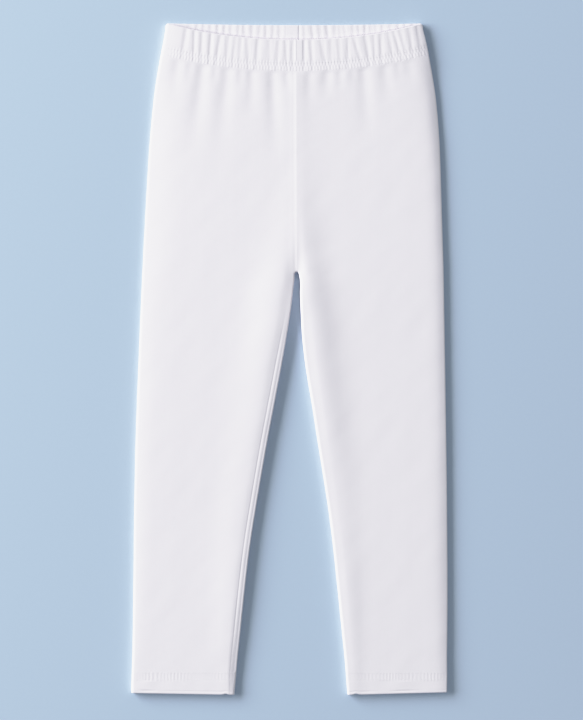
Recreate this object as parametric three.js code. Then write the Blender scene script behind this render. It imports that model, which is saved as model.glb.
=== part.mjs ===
// A child's cotton-knit leggings, laid flat with the front up.
// Millimetres, +Z up, +Y towards the waist. The origin is on the surface, under the middle of the outline.
// The wearer's right leg lies on the -X side. Each leg is cut in one piece, folded round at its outer side,
// sewn to itself along the inseam and to the other leg along the front and back rise. The waist is a casing
// with elastic in it, sewn in two halves, and each ankle ends in a turned-up hem.

import * as THREE from "three";

// Cloth
const KNIT = 1.4; // thickness of the knit
const CASING = 2.7; // waist casing: two plies of knit with the elastic between
const HEM_WALL = 2.2; // turned-up hem, two plies
const SEAM_GAP = 0.3; // between pieces that are sewn together

// How the garment lies
const FOLD_MIDDLE = 2.3; // height of the middle of a folded leg edge
const PLY_TOP = 4.9; // top of the front ply, away from folds
const WAIST_LIFT = 0.4; // how far the front ply rises to meet the casing
const WAIST_LIFT_REACH = 30;
// How the front ply slopes down to the outer folded edge, and within what reach.
const OUTER_SLOPE = {
  right: [
    { y: -275, slope: 0.05, reach: 4 },
    { y: -212, slope: 0.09, reach: 7 },
    { y: -124, slope: 0.1, reach: 9.5 },
    { y: -36, slope: 0.1, reach: 11.5 },
    { y: 52, slope: 0.1, reach: 14 },
    { y: 157, slope: 0.1, reach: 19 },
    { y: 237, slope: 0.1, reach: 14 },
    { y: 262, slope: 0.08, reach: 10 },
  ],
  left: [
    { y: -275, slope: 0.17, reach: 6 },
    { y: -212, slope: 0.2, reach: 7 },
    { y: -36, slope: 0.21, reach: 6.5 },
    { y: 52, slope: 0.22, reach: 6.5 },
    { y: 157, slope: 0.27, reach: 6.5 },
    { y: 237, slope: 0.27, reach: 8 },
    { y: 262, slope: 0.2, reach: 8 },
  ],
};
const OUTER_SINK_MOST = 1.5;
const HEM_MIDDLE = 2.45;
const HEM_TOP = 4.9;
const HEM_SPREAD = 0.35; // the hem stands a little wider than the leg
const CASING_MIDDLE = 2.95;
const CASING_TOP = 5.9;

// Waist
const WAIST_TOP_Y = 295.2; // top edge at the side folds
const WAIST_DIP = { front: 14.6, back: 1.6 }; // how far the top edge drops from side to centre
const DIP_POWER = 2.1;
const CASING_HEIGHT = 27.5;
const STITCH_ZONE = 7; // lower part of the casing, pressed down by the coverstitch
const STITCH_PRESS = 0.3;

// Rise seams, at the waist and at the crotch
const CROTCH = { x: 6.7, y: 76.5 };
const CROTCH_RADIUS = 1.7; // of the narrow arch between the legs
const SEAM_AT_WAIST = { front: 6.0, back: 8.4 };

// Hems
const HEM_LINE_Y = -274.7; // where the leg ends and the turned-up hem begins
const HEM_BOTTOM = { inner: -295.2, rightOuter: -293.7, leftOuter: -293.1 };

// Outline of the two legs, a row for each height: outer and inner edges of the right and left leg.
// Above the crotch the rise seams bound the cloth, and the inner edges only carry the ridge beside the front seam.
const OUTLINE = [
  { y: -295, rightOuter: -138.8, rightInner: -48.2, leftInner: 50.9, leftOuter: 139.1 },
  { y: -275, rightOuter: -138.2, rightInner: -46.5, leftInner: 49.4, leftOuter: 139.4 },
  { y: -240, rightOuter: -137.6, rightInner: -42.7, leftInner: 45.8, leftOuter: 139.8 },
  { y: -200, rightOuter: -137.0, rightInner: -38.6, leftInner: 41.7, leftOuter: 140.0 },
  { y: -160, rightOuter: -136.7, rightInner: -33.7, leftInner: 37.5, leftOuter: 139.8 },
  { y: -120, rightOuter: -136.1, rightInner: -27.2, leftInner: 32.1, leftOuter: 139.5 },
  { y: -80, rightOuter: -135.3, rightInner: -20.4, leftInner: 25.6, leftOuter: 139.0 },
  { y: -40, rightOuter: -134.0, rightInner: -12.9, leftInner: 19.4, leftOuter: 138.4 },
  { y: 0, rightOuter: -132.4, rightInner: -5.4, leftInner: 13.0, leftOuter: 137.8 },
  { y: 35, rightOuter: -131.0, rightInner: 0.5, leftInner: 10.4, leftOuter: 137.2 },
  { y: 60, rightOuter: -129.8, rightInner: 4.0, leftInner: 9.9, leftOuter: 136.8 },
  { y: 75, rightOuter: -129.2, rightInner: 5.0, leftInner: 8.8, leftOuter: 136.6 },
  { y: 140, rightOuter: -125.8, rightInner: 6.5, leftInner: 6.5, leftOuter: 134.6 },
  { y: 190, rightOuter: -122.8, rightInner: 6.5, leftInner: 6.5, leftOuter: 133.0 },
  { y: 230, rightOuter: -119.0, rightInner: 6.5, leftInner: 6.5, leftOuter: 129.6 },
  { y: 255, rightOuter: -115.4, rightInner: 6.5, leftInner: 6.5, leftOuter: 125.7 },
  { y: 270, rightOuter: -112.5, rightInner: 6.5, leftInner: 6.5, leftOuter: 123.0 },
  { y: 285, rightOuter: -110.3, rightInner: 6.5, leftInner: 6.5, leftOuter: 120.5 },
  { y: 295, rightOuter: -108.6, rightInner: 6.5, leftInner: 6.5, leftOuter: 117.6 },
];

// The soft ridge that starts at the front seam and runs down beside the inseam: how far it lies from the seam
// or inner edge, its height, how far the cloth sinks again towards that edge, and its width on either side.
const RIDGE = {
  right: [
    { y: -275, inset: 10, height: 0.2, edgeSink: 0.8, edgeWidth: 6, midWidth: 12 },
    { y: -212, inset: 10, height: 0.7, edgeSink: 0.8, edgeWidth: 6.5, midWidth: 16 },
    { y: -124, inset: 11.4, height: 0.65, edgeSink: 0.9, edgeWidth: 8, midWidth: 18 },
    { y: -36, inset: 12.8, height: 1.0, edgeSink: 1.0, edgeWidth: 9, midWidth: 20 },
    { y: 0, inset: 13.5, height: 1.3, edgeSink: 1.1, edgeWidth: 9, midWidth: 20 },
    { y: 35, inset: 12.3, height: 1.55, edgeSink: 1.2, edgeWidth: 9, midWidth: 20 },
    { y: 60, inset: 12.5, height: 1.4, edgeSink: 1.4, edgeWidth: 11, midWidth: 20 },
    { y: 80, inset: 9, height: 1.2, edgeSink: 1.0, edgeWidth: 10, midWidth: 20 },
    { y: 120, inset: 3, height: 0.8, edgeSink: 0.3, edgeWidth: 9, midWidth: 18 },
    { y: 160, inset: 0, height: 0.3, edgeSink: 0, edgeWidth: 9, midWidth: 14 },
    { y: 265, inset: 0, height: 0.2, edgeSink: 0, edgeWidth: 9, midWidth: 10 },
  ],
  left: [
    { y: -275, inset: 7, height: 0.3, edgeSink: 0.2, edgeWidth: 5, midWidth: 8 },
    { y: -212, inset: 9, height: 0.55, edgeSink: 0.4, edgeWidth: 6, midWidth: 9 },
    { y: -124, inset: 10, height: 0.4, edgeSink: 0.3, edgeWidth: 7, midWidth: 14 },
    { y: -36, inset: 11.4, height: 1.5, edgeSink: 0.5, edgeWidth: 7, midWidth: 14.5 },
    { y: 0, inset: 12, height: 1.6, edgeSink: 0.55, edgeWidth: 7, midWidth: 15 },
    { y: 34, inset: 10.8, height: 1.9, edgeSink: 0.5, edgeWidth: 7, midWidth: 14.5 },
    { y: 60, inset: 7, height: 1.85, edgeSink: 0.3, edgeWidth: 5, midWidth: 12 },
    { y: 80, inset: 4.5, height: 1.6, edgeSink: 0.15, edgeWidth: 5, midWidth: 12 },
    { y: 120, inset: 2, height: 1.1, edgeSink: 0, edgeWidth: 8, midWidth: 14 },
    { y: 160, inset: 0, height: 0.65, edgeSink: 0, edgeWidth: 8, midWidth: 14 },
    { y: 265, inset: 0, height: 0.5, edgeSink: 0, edgeWidth: 8, midWidth: 12 },
  ],
};

// Troughs that run down from the elastic: place at the casing, length, depth, width, and drift in x per mm down.
const GATHER_FOLDS = [
  { x: -98, length: 36, depth: 0.6, width: 6, drift: -0.2 },
  { x: -76, length: 72, depth: 0.8, width: 6, drift: -0.19 },
  { x: -54.5, length: 72, depth: 0.75, width: 6, drift: -0.13 },
  { x: -33, length: 38, depth: 0.55, width: 5, drift: -0.02 },
  { x: -15, length: 78, depth: 0.7, width: 5, drift: 0.03 },
  { x: -3, length: 22, depth: 0.4, width: 4, drift: -0.05 },
  { x: 33, length: 26, depth: 0.6, width: 5, drift: 0 },
  { x: 44.5, length: 24, depth: 0.4, width: 4, drift: 0 },
  { x: 65, length: 64, depth: 0.65, width: 6, drift: 0.08 },
  { x: 83.5, length: 30, depth: 0.5, width: 5, drift: 0.1 },
  { x: 104, length: 24, depth: 0.4, width: 6, drift: 0.15 },
];

// Gathers of the casing on each ply of each half: distance of the first and last trough from the rise seam.
const GATHER_DEPTH = 0.65;
const GATHER_CRESTS = [0.3, 0.7]; // the two shoulders of a gather, as shares of its width
const CASING_GATHERS = {
  right: { front: { first: 3.1, last: 106.5, count: 15 }, back: { first: 13, last: 104.5, count: 16 } },
  left: { front: { first: 7, last: 111, count: 16 }, back: { first: 3.7, last: 103, count: 18 } },
};
const GATHER_UNEVEN = 0.16; // how far a gather wanders from even spacing, as a share of its width
const GATHER_FAN = 0.3; // how far the gathers lean outwards towards the sides, per mm down

// Grid of each wall
const FOLD_STEPS = 3; // columns in a quarter of a folded edge
const FRONT_COLUMNS = 21;
const BACK_COLUMNS = 6;
const HEM_COLUMNS = 10;
const LEG_ROWS = 12;
const CROTCH_STEPS = 3;
const BODY_ROWS = [0.14, 0.3, 0.46, 0.6, 0.72, 0.81, 0.88, 0.93, 0.97, 1]; // shares of the way from crotch to waist
const PASSES = 3; // rounds in which a point's height and its place across settle on each other
const RIM_PINCH = 0.55; // how much of its thickness a rounded edge keeps at its very rim

const QUARTER = Math.PI / 2;

// out points from the middle of the garment to the leg's outer side.
const RIGHT = { name: "right", out: -1, outer: "rightOuter", inner: "rightInner" };
const LEFT = { name: "left", out: 1, outer: "leftOuter", inner: "leftInner" };

// Smooth value of one column of a table at height y, by Hermite spans between its rows.
function valueAt(table, column, y) {
  const last = table.length - 1;
  const row = table.findIndex((r) => r.y >= y);
  if (row <= 0) return table[row < 0 ? last : 0][column];
  const slope = (k) => {
    const a = table[Math.max(k - 1, 0)];
    const b = table[Math.min(k + 1, last)];
    return (b[column] - a[column]) / (b.y - a.y);
  };
  const low = table[row - 1];
  const high = table[row];
  const span = high.y - low.y;
  const t = (y - low.y) / span;
  const t2 = t * t;
  const t3 = t2 * t;
  return (
    (2 * t3 - 3 * t2 + 1) * low[column] +
    (t3 - 2 * t2 + t) * span * slope(row - 1) +
    (3 * t2 - 2 * t3) * high[column] +
    (t3 - t2) * span * slope(row)
  );
}

const outerEdge = (leg, y) => valueAt(OUTLINE, leg.outer, y);
const innerEdge = (leg, y) => valueAt(OUTLINE, leg.inner, y);

// The waist's top and lower edge on one ply, where share runs from the rise seam (0) to the side fold (1).
const waistTop = (ply, share) =>
  WAIST_TOP_Y - WAIST_DIP[ply] * (1 - THREE.MathUtils.clamp(share, 0, 1) ** DIP_POWER);
const waistSeam = (ply, share) => waistTop(ply, share) - CASING_HEIGHT;

// Where a leg's cut edge lies along the front or back rise.
function seamX(leg, ply, y) {
  const share = THREE.MathUtils.clamp((y - CROTCH.y) / (waistSeam(ply, 0) - CROTCH.y), 0, 1.2);
  const middle = THREE.MathUtils.lerp(CROTCH.x, SEAM_AT_WAIST[ply], share);
  return middle + (leg.out * SEAM_GAP) / 2;
}

// How far a point lies across its ply, from 0 at the rise seam to 1 at the side fold.
const acrossAt = (leg, ply, x, y) => (x - seamX(leg, ply, y)) / (outerEdge(leg, y) - seamX(leg, ply, y));

// Distance inside the outline from the inner edge below the crotch, and from the crotch's arch above it.
function fromInnerFold(leg, x, y) {
  const archY = CROTCH.y - CROTCH_RADIUS;
  if (y <= archY) return leg.out * (x - innerEdge(leg, y));
  return Math.hypot(x - CROTCH.x - (leg.out * SEAM_GAP) / 2, y - archY) - CROTCH_RADIUS;
}

const bell = (distance, width) => Math.exp(-((distance / width) ** 2));

// Rise of a folded edge's rounding: 0 on the edge, 1 once a radius inside it.
const rounding = (distance, radius) => {
  const share = THREE.MathUtils.clamp(distance / radius, 0, 1);
  return Math.sqrt(1 - (1 - share) ** 2);
};

// Height of the outside of a leg's front ply.
function frontHeight(leg, x, y) {
  const fromOuter = leg.out * (outerEdge(leg, y) - x);
  const fromLine = Math.max(leg.out * (x - innerEdge(leg, y)), 0);
  const shape = (column) => valueAt(RIDGE[leg.name], column, y);
  const inset = shape("inset");
  const ridge =
    fromLine < inset
      ? shape("height") - shape("edgeSink") * (1 - bell(fromLine - inset, shape("edgeWidth")))
      : shape("height") * bell(fromLine - inset, shape("midWidth"));
  const reach = valueAt(OUTER_SLOPE[leg.name], "reach", y);
  const fullSink = valueAt(OUTER_SLOPE[leg.name], "slope", y) * reach * (1 - Math.tanh(Math.max(fromOuter, 0) / reach));
  const sink = Math.min(fullSink, OUTER_SINK_MOST);
  const below = waistSeam("front", acrossAt(leg, "front", x, y)) - y;
  const lift = WAIST_LIFT * bell(Math.max(below, 0), WAIST_LIFT_REACH);
  const folds = GATHER_FOLDS.reduce((sum, fold) => {
    const fade = Math.cos(QUARTER * THREE.MathUtils.clamp(below / fold.length, 0, 1)) ** 2;
    return sum + fold.depth * fade * bell(x - fold.x - fold.drift * below, fold.width);
  }, 0);
  return PLY_TOP + ridge - sink + lift - folds;
}

// One closed wall from a grid of points. pointAt(layer, column, row) gives the outer face (layer 0) or the inner
// face (layer 1). In rows up to lastClosedRow the last column is the first one again, so the wall is a tube there.
function wallMesh(name, material, leg, columnCount, rowCount, lastClosedRow, pointAt) {
  const positions = [];
  for (let layer = 0; layer < 2; layer++)
    for (let row = 0; row < rowCount; row++)
      for (let column = 0; column < columnCount; column++)
        positions.push(...pointAt(layer, column, row).toArray());
  const closes = (row) => row <= lastClosedRow;
  const at = (layer, column, row) =>
    (layer * rowCount + row) * columnCount + (closes(row) && column === columnCount - 1 ? 0 : column);
  const indices = [];
  const quad = (a, b, c, d) => {
    const corners = leg.out > 0 ? [a, b, c, d] : [d, c, b, a];
    for (const [i, j, k] of [[0, 1, 2], [0, 2, 3]]) {
      const face = [corners[i], corners[j], corners[k]];
      if (new Set(face).size === 3) indices.push(...face);
    }
  };
  for (let row = 0; row < rowCount - 1; row++)
    for (let column = 0; column < columnCount - 1; column++) {
      quad(at(0, column, row), at(0, column + 1, row), at(0, column + 1, row + 1), at(0, column, row + 1));
      quad(at(1, column, row), at(1, column, row + 1), at(1, column + 1, row + 1), at(1, column + 1, row));
    }
  const top = rowCount - 1;
  for (let column = 0; column < columnCount - 1; column++) {
    quad(at(0, column, 0), at(1, column, 0), at(1, column + 1, 0), at(0, column + 1, 0));
    quad(at(0, column, top), at(0, column + 1, top), at(1, column + 1, top), at(1, column, top));
  }
  const end = columnCount - 1;
  for (let row = Math.max(lastClosedRow, 0); row < rowCount - 1; row++) {
    quad(at(0, 0, row), at(0, 0, row + 1), at(1, 0, row + 1), at(1, 0, row));
    quad(at(0, end, row + 1), at(0, end, row), at(1, end, row), at(1, end, row + 1));
  }
  const geometry = new THREE.BufferGeometry();
  geometry.setAttribute("position", new THREE.Float32BufferAttribute(positions, 3));
  geometry.setIndex(indices);
  geometry.computeVertexNormals();
  const mesh = new THREE.Mesh(geometry, material);
  mesh.name = name;
  return mesh;
}

// Columns round a flattened tube, from the inner edge over the front, the outer fold and the back to the inner
// edge again. A fold column has an angle, 0 on the very edge. A flat column has a share of the flat stretch.
function tubeColumns(frontCount, backCount) {
  const angles = Array.from({ length: FOLD_STEPS }, (_, k) => (QUARTER * k) / FOLD_STEPS);
  const flat = (ply, count) =>
    Array.from({ length: count + 1 }, (_, k) => ({ ply, zone: "flat", share: k / count }));
  return [
    ...angles.map((angle) => ({ ply: "front", zone: "inner", angle })),
    ...flat("front", frontCount),
    ...angles.slice().reverse().map((angle) => ({ ply: "front", zone: "outer", angle })),
    ...angles.slice(1).map((angle) => ({ ply: "back", zone: "outer", angle })),
    ...flat("back", backCount).reverse(),
    ...angles.slice().reverse().map((angle) => ({ ply: "back", zone: "inner", angle })),
  ];
}

// Place of a tube column across the garment, between the ends of the face it belongs to.
function columnX(leg, column, start, end, radius) {
  const inset = radius * (1 - Math.cos(column.angle ?? 0));
  if (column.zone === "inner") return start + leg.out * inset;
  if (column.zone === "outer") return end - leg.out * inset;
  return THREE.MathUtils.lerp(start + leg.out * radius, end - leg.out * radius, column.share);
}

// Rows of a leg from hem to waist. Each gives, for a face that lies depth inside the outside of the cloth, the
// row's height and where its first column starts.
function legRows(leg) {
  const archY = CROTCH.y - CROTCH_RADIUS;
  const seamEdge = CROTCH.x + (leg.out * SEAM_GAP) / 2;
  const tube = Array.from({ length: LEG_ROWS + 1 }, (_, k) => {
    const y = THREE.MathUtils.lerp(HEM_LINE_Y, archY, k / LEG_ROWS);
    return { y: () => y, start: (ply, depth) => innerEdge(leg, y) + leg.out * depth };
  });
  // The first arch row would repeat the last tube row, so the arch starts one step up.
  const arch = Array.from({ length: CROTCH_STEPS }, (_, k) => {
    const angle = (QUARTER * (k + 1)) / CROTCH_STEPS;
    return {
      y: (ply, depth) => archY + (CROTCH_RADIUS + depth) * Math.sin(angle),
      start: (ply, depth) => seamEdge + leg.out * (CROTCH_RADIUS + depth) * Math.cos(angle),
    };
  });
  const saddle = Array.from({ length: CROTCH_STEPS }, (_, k) => {
    const angle = (QUARTER * (k + 1)) / CROTCH_STEPS;
    const y = (ply, depth) => CROTCH.y + depth + (FOLD_MIDDLE - depth) * (1 - Math.cos(angle));
    return { y, start: (ply, depth) => seamX(leg, ply, y(ply, depth)) };
  });
  const bodyFrom = CROTCH.y + FOLD_MIDDLE;
  const body = BODY_ROWS.map((share) => {
    const y = (ply, depth, across) =>
      THREE.MathUtils.lerp(bodyFrom, waistSeam(ply, across) - SEAM_GAP / 2, share);
    return { y, start: (ply, depth, across) => seamX(leg, ply, y(ply, depth, across)) };
  });
  return { rows: [...tube, ...arch, ...saddle, ...body], lastClosedRow: LEG_ROWS + CROTCH_STEPS };
}

// A first guess of how far across its ply a column lies.
const shareAcross = (column) => ({ inner: 0, flat: column.share, outer: 1 })[column.zone];

function legPanel(leg, material) {
  const columns = tubeColumns(FRONT_COLUMNS, BACK_COLUMNS);
  const { rows, lastClosedRow } = legRows(leg);
  return wallMesh(`${leg.name}_leg`, material, leg, columns.length, rows.length, lastClosedRow, (layer, i, j) => {
    const column = columns[i];
    const depth = layer * KNIT;
    const radius = FOLD_MIDDLE - depth;
    let across = shareAcross(column);
    let x;
    let y;
    for (let pass = 0; pass < PASSES; pass++) {
      y = rows[j].y(column.ply, depth, across);
      const start = rows[j].start(column.ply, depth, across);
      x = columnX(leg, column, start, outerEdge(leg, y) - leg.out * depth, radius);
      across = acrossAt(leg, column.ply, x, y);
    }
    const fromOuter = leg.out * (outerEdge(leg, y) - x);
    const fromFold = Math.min(fromInnerFold(leg, x, y), fromOuter) - depth;
    const rise = rounding(fromFold, radius);
    const z =
      column.ply === "front"
        ? FOLD_MIDDLE + (frontHeight(leg, x, y) - depth - FOLD_MIDDLE) * rise
        : FOLD_MIDDLE - (FOLD_MIDDLE - depth) * rise;
    return new THREE.Vector3(x, y, z);
  });
}

function hem(leg, material) {
  const columns = tubeColumns(HEM_COLUMNS, HEM_COLUMNS);
  const top = HEM_LINE_Y - SEAM_GAP;
  const rounded = HEM_WALL / 2;
  const rows = [
    { share: 1, lift: 0, keep: RIM_PINCH },
    { share: 1, lift: rounded, keep: 1 },
    { share: 0.45, lift: 0, keep: 1 },
    { share: 0, lift: 0, keep: 1 },
  ];
  return wallMesh(`${leg.name}_hem`, material, leg, columns.length, rows.length, rows.length - 1, (layer, i, j) => {
    const column = columns[i];
    const { share, lift, keep } = rows[j];
    const bottom = THREE.MathUtils.lerp(HEM_BOTTOM.inner, HEM_BOTTOM[leg.outer], shareAcross(column));
    const y = THREE.MathUtils.lerp(top, bottom, share) + lift;
    const depth = HEM_WALL * (layer === 0 ? (1 - keep) / 2 : (1 + keep) / 2);
    const inner = innerEdge(leg, y) - leg.out * HEM_SPREAD;
    const outer = outerEdge(leg, y) + leg.out * HEM_SPREAD;
    const radius = HEM_MIDDLE - depth;
    const x = columnX(leg, column, inner + leg.out * depth, outer - leg.out * depth, radius);
    const fromFold = Math.min(leg.out * (x - inner), leg.out * (outer - x)) - depth;
    const rise = rounding(fromFold, radius);
    const z =
      column.ply === "front"
        ? HEM_MIDDLE + (HEM_TOP - depth - HEM_MIDDLE) * rise
        : HEM_MIDDLE - (HEM_MIDDLE - depth) * rise;
    return new THREE.Vector3(x, y, z);
  });
}

// Columns of one ply of the casing from the rise seam outwards: a trough and two shoulders for each gather.
function gatherColumns(leg, ply) {
  const { first, last, count } = CASING_GATHERS[leg.name][ply];
  const pitch = (last - first) / (count - 1);
  const trough = (k) => first + pitch * (k + GATHER_UNEVEN * Math.sin(2.3 * k + leg.out));
  const columns = [{ ply, zone: "flat", distance: 0, crest: 0.6 }];
  if (first > pitch / 2) columns.push({ ply, zone: "flat", distance: first - pitch / 3, crest: 0.7 });
  for (let k = 0; k < count; k++) {
    columns.push({ ply, zone: "flat", distance: trough(k), crest: 0 });
    const shoulders = k < count - 1 ? GATHER_CRESTS : GATHER_CRESTS.slice(0, 1);
    for (const share of shoulders)
      columns.push({ ply, zone: "flat", distance: trough(k) + share * (trough(k + 1) - trough(k)), crest: 1 });
  }
  return columns;
}

function casingHalf(leg, material) {
  const angles = Array.from({ length: FOLD_STEPS + 1 }, (_, k) => (QUARTER * k) / FOLD_STEPS);
  const columns = [
    ...gatherColumns(leg, "front"),
    ...angles.slice().reverse().map((angle) => ({ ply: "front", zone: "outer", angle, crest: 0.5 })),
    ...angles.slice(1).map((angle) => ({ ply: "back", zone: "outer", angle, crest: 0.5 })),
    ...gatherColumns(leg, "back").reverse(),
  ];
  const stitchFrom = 1 - STITCH_ZONE / CASING_HEIGHT;
  // Shares of the way down the casing, with how much the gathers show, the pressing and the rounding of the rim.
  const rows = [
    { share: 1, gather: 0.35, press: STITCH_PRESS, keep: 1 },
    { share: stitchFrom + 0.03, gather: 0.35, press: STITCH_PRESS, keep: 1 },
    { share: stitchFrom - 0.07, gather: 1, press: 0, keep: 1 },
    { share: 0.06, gather: 0.9, press: 0, keep: 1 },
    { share: 0, gather: 0.6, press: 0, keep: RIM_PINCH },
  ];
  const middleY = WAIST_TOP_Y - CASING_HEIGHT / 2;
  return wallMesh(`${leg.name}_waistband`, material, leg, columns.length, rows.length, -1, (layer, i, j) => {
    const column = columns[i];
    const { share, gather, press, keep } = rows[j];
    const depth = CASING * (layer === 0 ? (1 - keep) / 2 : (1 + keep) / 2);
    const radius = CASING_MIDDLE - depth;
    const reach = leg.out * (outerEdge(leg, middleY) - seamX(leg, column.ply, middleY)) - CASING_MIDDLE;
    let across = column.zone === "outer" ? 1 : column.distance / reach;
    const fan = leg.out * GATHER_FAN * across ** 2 * (1 - across) * 2 * CASING_HEIGHT * (share - 0.5);
    let x;
    let y;
    for (let pass = 0; pass < PASSES; pass++) {
      const top = waistTop(column.ply, across);
      y = THREE.MathUtils.lerp(top, top - CASING_HEIGHT + SEAM_GAP / 2, share);
      const outer = outerEdge(leg, y);
      const start = seamX(leg, column.ply, y);
      const flatEnd = outer - leg.out * (CASING_MIDDLE + 0.5);
      x =
        column.zone === "outer"
          ? columnX(leg, column, start, outer - leg.out * depth, radius)
          : THREE.MathUtils.lerp(start, flatEnd, column.distance / reach) + fan;
      across = acrossAt(leg, column.ply, x, y);
    }
    const rise = rounding(leg.out * (outerEdge(leg, y) - x) - depth, radius);
    const relief = GATHER_DEPTH * gather * (column.crest - 0.5);
    if (column.ply === "front") {
      const shown = layer === 0 ? relief - press : 0;
      return new THREE.Vector3(x, y, CASING_MIDDLE + (CASING_TOP + shown - depth - CASING_MIDDLE) * rise);
    }
    const shown = layer === 1 ? relief - GATHER_DEPTH / 2 : 0;
    return new THREE.Vector3(x, y, CASING_MIDDLE - (CASING_MIDDLE - depth - shown) * rise);
  });
}

// Materials
const knit = new THREE.MeshStandardMaterial({ color: 0xefeef2, roughness: 0.92, metalness: 0 });
const gatheredKnit = new THREE.MeshStandardMaterial({ color: 0xf1f0f4, roughness: 0.9, metalness: 0 });

const leggings = new THREE.Group();
for (const leg of [RIGHT, LEFT]) {
  leggings.add(legPanel(leg, knit));
  leggings.add(casingHalf(leg, gatheredKnit));
  leggings.add(hem(leg, knit));
}

// The origin lies under the middle of the outline.
const outline = new THREE.Box3().setFromObject(leggings);
const middle = outline.getCenter(new THREE.Vector3());
for (const piece of leggings.children) piece.geometry.translate(-middle.x, -middle.y, -outline.min.z);

export default leggings;
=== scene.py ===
import math

import bpy
import numpy as np
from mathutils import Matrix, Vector
from mathutils.bvhtree import BVHTree


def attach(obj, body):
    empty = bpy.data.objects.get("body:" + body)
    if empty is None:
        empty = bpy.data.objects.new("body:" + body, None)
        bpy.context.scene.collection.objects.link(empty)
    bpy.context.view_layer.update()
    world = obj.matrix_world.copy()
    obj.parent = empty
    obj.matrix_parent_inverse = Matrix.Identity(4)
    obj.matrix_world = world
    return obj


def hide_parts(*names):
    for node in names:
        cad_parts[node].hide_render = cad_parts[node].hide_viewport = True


MM = 0.001

# Cloth and how it lies, as in the solids
KNIT = 1.0 * MM
FOLD_MIDDLE = 2.3 * MM
PLY_TOP = 4.9 * MM
SEAM_GAP = 0.3 * MM
WAIST_LIFT = 0.4 * MM
WAIST_LIFT_REACH = 30 * MM
# How square the folded edges are: 2 is round. The folds on the wearer's right of each leg are the rounder.
SQUARENESS = {"right": 2.8, "left": 6, "hem_inner": 3.2}

# How far the folds of the cloth lie inside the edges of the solids
FOLD_INSET = {"outer": 0.5 * MM, "inner": {"right": 0, "left": 0.9 * MM}}

# How the front ply slopes down to the outer folded edge, and within what reach in millimetres.
OUTER_SLOPE = {
    "right": [
        {"y": -275, "slope": 0.05, "reach": 4},
        {"y": -212, "slope": 0.09, "reach": 7},
        {"y": -124, "slope": 0.1, "reach": 9.5},
        {"y": -36, "slope": 0.1, "reach": 11.5},
        {"y": 52, "slope": 0.1, "reach": 14},
        {"y": 157, "slope": 0.1, "reach": 19},
        {"y": 237, "slope": 0.1, "reach": 14},
        {"y": 262, "slope": 0.08, "reach": 10},
    ],
    "left": [
        {"y": -275, "slope": 0.17, "reach": 6},
        {"y": -212, "slope": 0.2, "reach": 7},
        {"y": -36, "slope": 0.21, "reach": 6.5},
        {"y": 52, "slope": 0.22, "reach": 6.5},
        {"y": 157, "slope": 0.27, "reach": 6.5},
        {"y": 237, "slope": 0.27, "reach": 8},
        {"y": 262, "slope": 0.2, "reach": 8},
    ],
}

# Waist casing
CASING = 2.7 * MM
CASING_MIDDLE = 2.95 * MM
CASING_TOP = 5.8 * MM
CASING_HEIGHT = 27.5 * MM
WAIST_TOP_Y = 295.2 * MM
WAIST_DIP = {"front": 14.6 * MM, "back": 1.6 * MM}
DIP_POWER = 2.1
STITCH_ZONE = 7.4 * MM
STITCH_PRESS = 0.18 * MM
CORNER = 3.0 * MM
# The flat stretch of the casing ends this far short of its fold.
FOLD_ROOM = 0.02 * MM

# Rise seams
CROTCH_X = 6.25 * MM
CROTCH_Y = 76.5 * MM
CROTCH_RADIUS = 1.7 * MM
SEAM_AT_WAIST = {"front": 5.55 * MM, "back": 7.95 * MM}
CROTCH_FADE = (-1 * MM, 9 * MM)

# The gap between the legs: how far down its edges bend into the arch, over what height the inner inset sets
# in, and by how much and where the left leg opens the arch
ARCH_BEND = 14 * MM
INSET_FADE = (30 * MM, 120 * MM)
ARCH_OPENING = {"right": 0, "left": 0.9 * MM}
OPENING_PLACE = {"at": 8 * MM, "reach": 7 * MM, "end": 5 * MM}

# Hems
HEM_WALL = 1.7 * MM
HEM_MIDDLE = 2.45 * MM
HEM_TOP = 4.9 * MM
HEM_ZONE = 7.4 * MM
HEM_LINE_Y = -274.8 * MM
HEM_HEIGHT = 20 * MM
HEM_BOTTOM = {
    "right": {"inner": -295.1 * MM, "outer": -293.6 * MM},
    "left": {"inner": -295.1 * MM, "outer": -293.0 * MM},
}

# How far the form of the leg carries on into the hem: the deepest it may sink, and the share lost downwards
HEM_SINK = 1.2 * MM
HEM_FLATTENING = 0.3
HEM_RELIEF_FADE = (-0.5 * MM, 3 * MM)
# The end of the inseam's allowance draws the bottom edge of the hem up a little.
HEM_TACK = {"at": 7.7 * MM, "width": 2.4 * MM, "rise": 0.8 * MM}
# Where the ribs of the hem stitching show: x and half width of the patch in millimetres, and strength
HEM_RIBS = {
    "right": ((-121, 8, 1.2), (-100, 10, 1.2), (-62, 5, 0.7)),
    "left": ((70, 5, 0.7), (89, 9, 1.0), (107, 4, 0.9), (124, 9, 1.1)),
}
HEM_RIB_DEPTH = 0.07 * MM
HEM_RIBS_ELSEWHERE = 0.12
HEM_CREASE = {"depth": 0.15 * MM, "up": 1.9 * MM, "width": 0.55 * MM}
HEM_PUCKER = 0.035 * MM
HEM_PRESS = 0.05 * MM
HEM_SEED = 31

# Ribs and threads of the coverstitch
RIB_PITCH = {"waist": 2.7 * MM, "hem": 3.0 * MM}
RIB_SLANT = 0.35
RIB_DEPTH = 0.11 * MM
# The ribs of the casing: where they set in, how far up the upper row takes over, and its shift in pitches
STITCHES_BEGIN = (-3 * MM, 1 * MM)
ROW_CHANGE = (0.62, 0.5)
ROW_SHIFT = 0.4
THREAD_RADIUS = 0.13 * MM
STITCH_LENGTH = {"waist": 2.0 * MM, "hem": 2.2 * MM}
STITCH_RISE = 0.07 * MM
# Share of its rise by which a stitch dips in at its ends
STITCH_ARCH = 0.75
NEEDLE_ROWS = (0.9 * MM, 6.9 * MM)
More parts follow.
